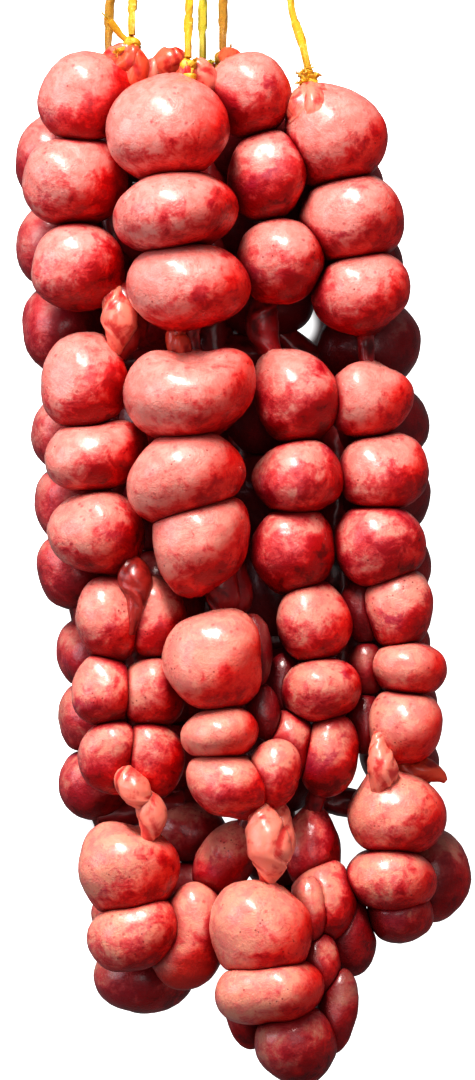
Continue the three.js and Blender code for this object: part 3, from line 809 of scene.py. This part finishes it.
def meatMaterial():
    material, make = newMaterial("meatInCasing")
    colours, scales = meatColours, meatScales
    place = make.place()
    names = ("fold", "belly", "closed", "tone", "film", "fromSun", "dim")
    fold, belly, closed, tone, film, fromSun, dim = [make.painted(name) for name in names]
    broad = make.noise(place, scales["broad"], 2.0, 0.5, 0.4)
    blotches = make.noise(place, scales["blotches"], 3.0, 0.6, 0.6)
    middling = make.noise(place, scales["middling"], 4.0, 0.62, 0.5)
    fine = make.noise(place, scales["fine"], 2.0, 0.6)

    # fat and meat under the casing, redder low on a link, with painted shade: redder away from the sun, in
    # folds and where other links close the skin in
    alongBundle = make.node("ShaderNodeSeparateXYZ", {}, {0: place}).other("Y")
    fat = make.mix(make.step(alongBundle, -0.12, 0.12), colours["fatBelow"], colours["fatAbove"])
    colour = make.mix(make.step(middling, 0.36, 0.64), fat, colours["pale"])
    # real blotches and painted shade together: the sum below also reddens away from the sun, in folds and
    # inside the bundle
    bloodAndShade = 0.6 * broad + 0.75 * blotches + 0.4 * middling + 0.2 * fine - 0.975
    bloodAndShade = bloodAndShade * (0.5 + fromSun) + 0.22 * (belly - 0.55) + 0.3 * (fromSun - 0.42)
    bloodAndShade = 0.52 + bloodAndShade + 0.1 * fold + 0.25 * closed + 0.35 * (tone - 0.5)
    colour = make.mix(make.step(bloodAndShade, 0.42, 0.6), colour, colours["pink"])
    colour = make.mix(make.step(bloodAndShade, 0.57, 0.7), colour, colours["red"])
    bruised = make.step(make.noise(place, scales["bruises"], 2.0), 0.56, 0.7) * make.step(bloodAndShade, 0.44, 0.6)
    colour = make.mix(bruised * 0.55, colour, colours["bruise"])
    colour = make.mix(make.step(bloodAndShade, 0.76, 0.95), colour, colours["dark"])

    # small things: dark specks, fine veins, red freckles
    specks = dots(make, place, "specks", 0.1, 0.2)
    specks = specks * make.step(make.noise(place, scales["speckArea"], 1.0), 0.57, 0.63)
    colour = make.mix(specks * 0.75, colour, colours["speck"])
    ridge = make.sum("ABSOLUTE", make.noise(place, scales["veins"], 3.0, 0.55, 1.5) - 0.5)
    veins = (1.0 - make.step(ridge, 0.002, 0.014)) * make.step(broad, 0.42, 0.6)
    colour = make.mix(veins * 0.45, colour, colours["vein"])
    freckles = dots(make, place, "freckles", 0.08, 0.26)
    freckles = freckles * make.step(make.noise(place, scales["freckleArea"], 2.0), 0.42, 0.6)
    colour = make.mix(freckles * 0.55, colour, colours["freckle"])

    # empty casing, then painted shade: dark red in the folds, red that deepens away from the sun, and dark
    # inside the bundle
    colour = make.mix(film * 0.8, colour, colours["film"])
    # painted shade: dark red along the folds where links meet
    colour = make.mix(fold * 0.6, colour, colours["creaseShade"])
    shaded = make.step(fromSun + 0.25 * (blotches - 0.5) + 0.2 * (broad - 0.5), 0.3, 0.6)
    colour = make.mix(shaded * 0.97, colour, colours["shaded"], "MULTIPLY")
    # painted shade: near-black where other links close the skin in
    colour = make.mix(make.step(closed, 0.3, 0.9) * 0.9, colour, colours["closed"])
    # painted shade: darker for links deep in the bundle's dark
    colour = make.mix(make.step(dim, 0.05, 0.55) * 0.82, colour, colours["dim"])

    grain = make.noise(place, scales["grain"], 2.0, 0.6)
    wrinkles = make.noise(place, scales["wrinkles"], 2.0, 0.5, 2.5)
    height = 0.4 * grain + 0.9 * fine + 1.1 * middling + 0.9 * wrinkles
    bump = make.node("ShaderNodeBump", {}, {"Strength": 0.55, "Distance": 0.0004, "Height": height})
    wet = (0.4 + 0.5 * make.step(fine, 0.35, 0.6)) * (1.0 - 0.65 * shaded)
    sockets = {"Base Color": colour, "Roughness": 0.3 + 0.2 * fine, "Coat Weight": wet, "Normal": bump}
    sockets.update({"Coat Roughness": 0.24, "IOR": 1.42, "Specular IOR Level": 0.36})
    sockets.update({"Subsurface Weight": 0.2, "Subsurface Radius": (1.0, 0.18, 0.12)})
    sockets["Subsurface Scale"] = 0.003
    endMaterial(make, sockets)
    return material


def makeStrings(values):
    every = prepareLinks(values)
    tree, meat = skinTree(skinValues), meatMaterial()
    frontGrid, backGrid = ballGrid(values["frontGrid"]), ballGrid(values["backGrid"])
    for name, links in strings.items():
        mesh = makeStringMesh(links, every, values, backGrid if "back" in name else frontGrid)
        source = addObject("links_" + name, mesh)
        piece = grown(source, tree, {**skinValues, "Material": meat}, "links_" + name)
        finished(piece, "string_" + name)
        print("links of", name, len(piece.data.polygons))


makeStrings(linkValues)


# Necks: drops of loose casing between the bunches, and the gathered ends under the knots.
# Each is [picture x, picture y, height above the floor, girth] along its way; a first number
# of 0 is pale casing, 1 is orange casing, 2 is casing painted dark for the bundle's shade.

necks = {
    "centre": [
        (1.5, [
            (186, 310, 60, 8), (181, 324, 62, 6), (175, 335, 62, 7), (179, 346, 62, 9), (187, 372, 60, 6),
        ]),
        (1.8, [(196, 316, 56, 6), (190, 328, 58, 8), (192, 342, 58, 6), (196, 360, 58, 4)]),
        (1.9, [(214, 550, 56, 10), (218, 574, 58, 14), (224, 596, 58, 13), (222, 620, 57, 7)]),
        (2, [(234, 552, 52, 8), (232, 576, 54, 12), (236, 598, 55, 12), (230, 622, 55, 6)]),
        (0, [
            (258, 794, 64, 6), (262, 812, 69, 10), (266, 834, 72, 15), (270, 854, 72, 16),
            (270, 870, 71, 10), (267, 884, 68, 5), (266, 898, 66, 5),
        ]),
        (0, [(276, 800, 62, 6), (280, 822, 64, 9), (279, 846, 66, 11), (272, 872, 66, 5)]),
        (1, [(184, 84, 60, 8), (187, 74, 63, 8), (187, 66, 64, 5), (188, 62, 64, 3)]),
        (0, [(206, 92, 56, 10), (204, 78, 60, 10.5), (200, 67, 62, 7.5), (193, 61, 63, 3.5)]),
        (1, [(196, 88, 57, 9), (196, 76, 61, 8), (193, 68, 63, 5), (190, 62, 64, 3)]),
    ],
    "left": [
        (0.1, [
            (106, 282, 50, 6), (115, 300, 53, 10), (120, 319, 55, 13.5), (118, 338, 54, 9),
            (114, 354, 52, 4), (108, 368, 50, 4),
        ]),
        (1.7, [
            (100, 284, 46, 7), (122, 302, 49, 15), (127, 326, 50, 15), (119, 350, 49, 9), (110, 368, 47, 4),
        ]),
        (1.65, [
            (116, 548, 50, 6), (128, 564, 53, 10), (135, 581, 56, 12.5), (137, 600, 58, 8),
            (134, 618, 59, 4), (131, 634, 58, 3),
        ]),
        (0.1, [
            (120, 766, 52, 5), (127, 779, 57, 10), (136, 792, 60, 11.5), (145, 803, 60, 7),
            (152, 810, 58, 3),
        ]),
        (0, [
            (134, 790, 55, 4), (145, 800, 58, 9), (152, 814, 59, 11), (151, 829, 59, 8.5),
            (147, 842, 58, 4), (149, 856, 56, 3),
        ]),
        (0.5, [(104, 59, 46, 3), (110, 57, 48, 6), (119, 54, 51, 7.5), (127, 49, 53, 6), (131, 44, 53, 3)]),
        (1, [(106, 72, 47, 7), (117, 68, 50, 10), (128, 62, 53, 9), (133, 53, 54, 6), (132, 46, 53, 3.5)]),
        (1, [(122, 88, 48, 10), (131, 79, 51, 11), (138, 68, 53, 8.5), (137, 57, 54, 6), (133, 47, 53, 3)]),
    ],
    "right_centre": [
        (2, [(268, 296, 44, 8), (262, 320, 44, 12), (264, 338, 44, 11), (278, 362, 46, 6)]),
        (2, [(296, 576, 50, 7), (300, 592, 50, 6), (307, 606, 50, 6)]),
        (2, [(322, 782, 48, 6), (316, 800, 46, 7), (312, 818, 44, 6)]),
        (2, [(282, 768, 50, 6), (262, 800, 44, 8), (236, 838, 42, 6)]),
        (1, [(236, 66, 44, 9), (229, 58, 40, 8), (224, 54, 36, 4)]),
    ],
    "right": [
        (2, [(364, 322, 46, 7), (366, 344, 44, 6), (368, 370, 46, 6)]),
        (2, [(384, 578, 46, 7), (392, 586, 46, 6)]),
        (0, [
            (390, 738, 54, 4), (379, 735, 57, 4), (378, 746, 58, 6.5), (381, 760, 59, 10),
            (383, 773, 59, 11), (380, 786, 58, 7), (378, 798, 55, 5),
        ]),
        (1.45, [
            (392, 752, 46, 5), (408, 770, 47, 8), (424, 770, 47, 9), (438, 775, 47, 6), (446, 781, 47, 2),
        ]),
        (0, [(300, 124, 55, 9), (301, 108, 56, 11), (304, 96, 54, 8.5), (309, 86, 51, 4)]),
        (0, [(317, 118, 60, 9), (315, 104, 59, 9.5), (313, 94, 55, 7.5), (310, 85, 51, 4)]),
        (0, [(336, 112, 56, 8), (327, 101, 56, 9), (319, 93, 54, 7.5), (311, 86, 51, 3.5)]),
    ],
    "back_left": [
        (0.8, [
            (160, 90, 26, 11), (164, 74, 30, 12), (170, 62, 33, 11.5), (176, 54, 34, 9), (179, 48, 34, 3.5),
        ]),
        (1, [(176, 92, 26, 8), (176, 76, 29, 9), (178, 64, 31, 7.5), (179, 54, 33, 3)]),
        (0, [(146, 92, 28, 9), (150, 76, 32, 10), (155, 67, 33, 8), (161, 60, 33, 3.5)]),
        (2, [(118, 90, 22, 9), (112, 72, 27, 8), (107, 64, 30, 5)]),
    ],
    "back_right": [
        (2, [(228, 92, 20, 9), (214, 76, 28, 8), (203, 66, 33, 5)]),
    ],
}
hiddenNecks = {  # from, to and perhaps girth, in millimetres at the height of the back strings
    "back_left": [
        ((-67, 77), (-63, 54)), ((-61, -11), (-57, -28)), ((-53, -88), (-47, -106)), ((-32, 85), (-31, 60)),
        ((-35, 84), (-60, 52)), ((-29, -20), (-27, -43)), ((-32, -19), (-52, -31)),
        ((-25, -77), (-22, -96)), ((-27, -77), (-43, -107)), ((-49, 158), (-46, -12), 15),
        ((-43, -14), (-31, -120), 15), ((-14, 165), (-10, -15), 15), ((-8, -18), (-3, -62), 13),
        ((-48, 72), (6, 77), 14), ((-46, -33), (6, -30), 14), ((-54, -95), (-22, -89), 14),
        ((-3, 68), (-1, -18), 12), ((-15, -5), (-12, -45), 12),
    ],
    "back_right": [
        ((5, 88), (7, 64)), ((8, 87), (46, 57)), ((9, -18), (10, -42)), ((12, -18), (47, -28)),
        ((12, -84), (14, -104)), ((15, -84), (58, -94)), ((47, 71), (51, 57)), ((52, -9), (52, -26)),
        ((57, -79), (60, -90)), ((17, 150), (21, 106), 15), ((33, 62), (35, -20), 16),
        ((35, -22), (37, -60), 13), ((6, -31), (50, -20), 14), ((30, 57), (49, 60), 13),
    ],
}
hiddenGirth = 11.0  # where a hidden neck states none
neckValues = {
    "Folds": 3.0, "Fold Depth": 0.05, "Turns": 0.3, "Turn By Girth": 400.0, "Step": 0.0006, "Sides": 40,
    "Crumple": 0.0006, "Crumple Scale": 190.0,
}
neckColours = {  # each from clean casing to casing with blood in it
    "pale": ((0.88, 0.24, 0.17, 1), (0.6, 0.04, 0.035, 1)),
    "orange": ((0.8, 0.1, 0.04, 1), (0.5, 0.015, 0.01, 1)),
    # painted shade: casing darkened for the bundle's shade
    "dark": ((0.27, 0.007, 0.01, 1), (0.1, 0.002, 0.003, 1)),
}


def neckTree(values):  # a drop swept along each line, with soft folds that turn along it
    tree, make, given = newGeometryTree("casingNecks", values)
    girth = make.stored("girth")
    line = make.line(make.node("GeometryNodeMeshToCurve", {}, {"Mesh": given}), given.other("Step"))
    along = make.node("GeometryNodeSplineParameter", out="Factor")
    turn = along * given.other("Turns") * (2 * math.pi) + girth * given.other("Turn By Girth")
    line = make.store(make.tilted(line, turn), "along", along)
    ring, angle = make.ring(given.other("Sides"), 0.5)
    fold = make.sum("COSINE", angle * given.other("Folds") + 1.5 * make.sum("SINE", angle * 2.0))
    place = make.scaled(make.where(), 1.0 + fold * given.other("Fold Depth"))
    ring = make.store(make.placed(ring, place), "fold", fold)
    crumple = make.noise(make.where(), given.other("Crumple Scale"), 2.0) - 0.5
    crumple = crumple * given.other("Crumple") * 2.0
    endGeometryTree(make, given, make.pushed(make.swept(line, ring, girth), crumple))
    return tree


def neckMaterial():
    material, make = newMaterial("looseCasing")
    place = make.place()
    fold, along, tint = make.painted("fold"), make.painted("along"), make.painted("tint")
    cloudy = make.noise(place, 160.0, 3.0, 0.6, 0.4)
    streaks = make.noise(make.node("ShaderNodeCombineXYZ", {}, {"X": along * 2.0, "Y": fold * 2.0}), 4.0, 3.0)
    blood = make.step(cloudy + 0.2 * (streaks - 0.5) - 0.12 * fold, 0.48, 0.72)
    pale, orange, dark = [make.mix(blood, *neckColours[name]) for name in ("pale", "orange", "dark")]
    colour = make.mix(tint, pale, make.mix(make.step(tint, 1.2, 1.8), orange, dark))
    height = cloudy + 0.5 * make.noise(place, 700.0, 2.0)
    bump = make.node("ShaderNodeBump", {}, {"Strength": 0.4, "Distance": 0.0005, "Height": height})
    sockets = {"Base Color": colour, "Roughness": 0.3 + 0.15 * cloudy, "Normal": bump}
    sockets.update({"Coat Weight": 0.4, "Coat Roughness": 0.2, "IOR": 1.42})
    sockets.update({"Subsurface Weight": 0.4, "Subsurface Radius": (1.0, 0.3, 0.15)})
    sockets["Subsurface Scale"] = 0.004
    endMaterial(make, sockets)
    return material


def neckLine(rows):
    spots = [(*picture(x, y, 1, 1, z)["middle"], girth) for x, y, z, girth in rows]
    return smoothCurve(spots, 8)


def makeNecks(values):
    tree, casing = neckTree(values), neckMaterial()
    for name, drops in necks.items():
        lines = [(tint, neckLine(rows)) for tint, rows in drops]
        for start, end, *wide in hiddenNecks.get(name, ()):
            girth = wide[0] if wide else hiddenGirth
            # painted shade: hidden necks fill the bundle's dark gaps with casing painted dark
            lines.append((2, np.array([(*start, backRise, girth), (*end, backRise, girth)], float)))
        places, edges, tints = [], [], []
        for tint, line in lines:
            edges += [(len(places) + i, len(places) + i + 1) for i in range(len(line) - 1)]
            places += line.tolist()
            tints += [tint] * len(line)
        places = np.array(places)
        mesh = bpy.data.meshes.new("neckLines")
        mesh.from_pydata((places[:, :3] * mm).tolist(), edges, [])
        setAttribute(mesh, "girth", places[:, 3] * mm)
        setAttribute(mesh, "tint", tints)
        piece = grown(addObject("neckLines", mesh), tree, {**values, "Material": casing}, "necks_" + name)
        finished(piece, "string_" + name)


makeNecks(neckValues)
print("necks made")


# Floor and light

floorValues = {
    "halfSide": 4.0, "drop": 0.0002, "grain": 40.0, "glow": 1.15, "roughness": 0.8,
    "colours": ((0.86, 0.86, 0.86, 1), (0.9, 0.9, 0.9, 1)),
    # the dark under the bundle, and where the floor shows light between the strings: x, y, size
    "middle": (-0.004, 0.025), "across": (0.048, 0.064), "along": (0.11, 0.14),
    "narrow": 0.014, "narrowFrom": (0.07, 0.1),
    "openings": [(17, 88, 9), (-9, -90, 8), (38, -80, 9), (34, -97, 9)],
}


def floorMaterial(values):
    material, make = newMaterial("paleFloor")
    place = make.place()
    colour = make.mix(make.noise(place, values["grain"], 3.0), *values["colours"])
    parts = make.node("ShaderNodeSeparateXYZ", {}, {0: place})
    middleX, middleY = values["middle"]
    across = make.sum("ABSOLUTE", parts - middleX)
    along = make.sum("ABSOLUTE", parts.other("Y") - middleY)
    narrow = values["narrow"] * make.step(parts.other("Y"), *values["narrowFrom"])
    under = (1.0 - make.step(across + narrow, *values["across"])) * (1.0 - make.step(along, *values["along"]))
    for x, y, size in values["openings"]:
        sockets = {0: place, 1: (x * mm, y * mm, 0)}
        far = make.node("ShaderNodeVectorMath", {"operation": "DISTANCE"}, sockets, out=1)
        under = under * make.step(far, size * mm * 0.7, size * mm * 1.3)
    glow = make.mix(under, (1, 1, 1, 1), (0, 0, 0, 1))
    sockets = {"Base Color": colour, "Roughness": values["roughness"]}
    sockets.update({"Emission Color": glow, "Emission Strength": values["glow"]})
    endMaterial(make, sockets)
    return material


def makeFloor(values):
    mesh = bpy.data.meshes.new("floor")
    side = values["halfSide"]
    corners = [(-side, -side, 0), (side, -side, 0), (side, side, 0), (-side, side, 0)]
    mesh.from_pydata(corners, [], [(0, 1, 2, 3)])
    floor = addObject("floor", mesh)
    floor.location.z = -values["drop"]
    mesh.materials.append(floorMaterial(values))
    floor.visible_glossy = False  # no white sheen on the wet undersides
    floor.visible_diffuse = False


# place, width and height in metres, turn in degrees, power in watts, colour, whether it glints
lights = {
    "sun": ((-0.4, 1.75, 1.2), 1.4, 0.28, -75, 72.0, (1.0, 0.97, 0.93), True),
    "sky": ((-1.9, 0.6, 0.95), 1.7, 1.7, 0, 21.0, (0.84, 0.9, 1.0), True),
    "front": ((0.2, 0.2, 2.2), 1.2, 1.2, 0, 6.0, (1.0, 1.0, 1.0), True),
    "farSide": ((1.9, -0.9, 0.5), 1.6, 1.6, 0, 6.0, (1.0, 0.96, 0.93), False),
}
worldValues = {"colour": (0.95, 0.97, 1.0, 1), "strength": 0.15}
aim = Vector((0, 0, 0.05))  # the lights face the bundle's middle


def makeLights():
    for name, (place, width, height, turn, power, colour, glints) in lights.items():
        data = bpy.data.lights.new(name, "AREA")
        data.shape = "ELLIPSE"
        data.size, data.size_y = width, height
        data.energy = power
        data.color = colour
        light = addObject(name, data)
        light.location = place
        light.visible_glossy = glints
        facing = (aim - light.location).to_track_quat("-Z", "Y")
        light.rotation_euler = (facing @ Quaternion((0, 0, 1), math.radians(turn))).to_euler()


def makeWorld(values):
    world = bpy.data.worlds.new("world")
    bpy.context.scene.world = world
    world.use_nodes = True
    background = world.node_tree.nodes["Background"]
    background.inputs["Color"].default_value = values["colour"]
    background.inputs["Strength"].default_value = values["strength"]
    bpy.context.scene.view_settings.view_transform = "Standard"
    bpy.context.scene.view_settings.look = "Medium High Contrast"


makeFloor(floorValues)
makeLights()
makeWorld(worldValues)
print("floor and light made")
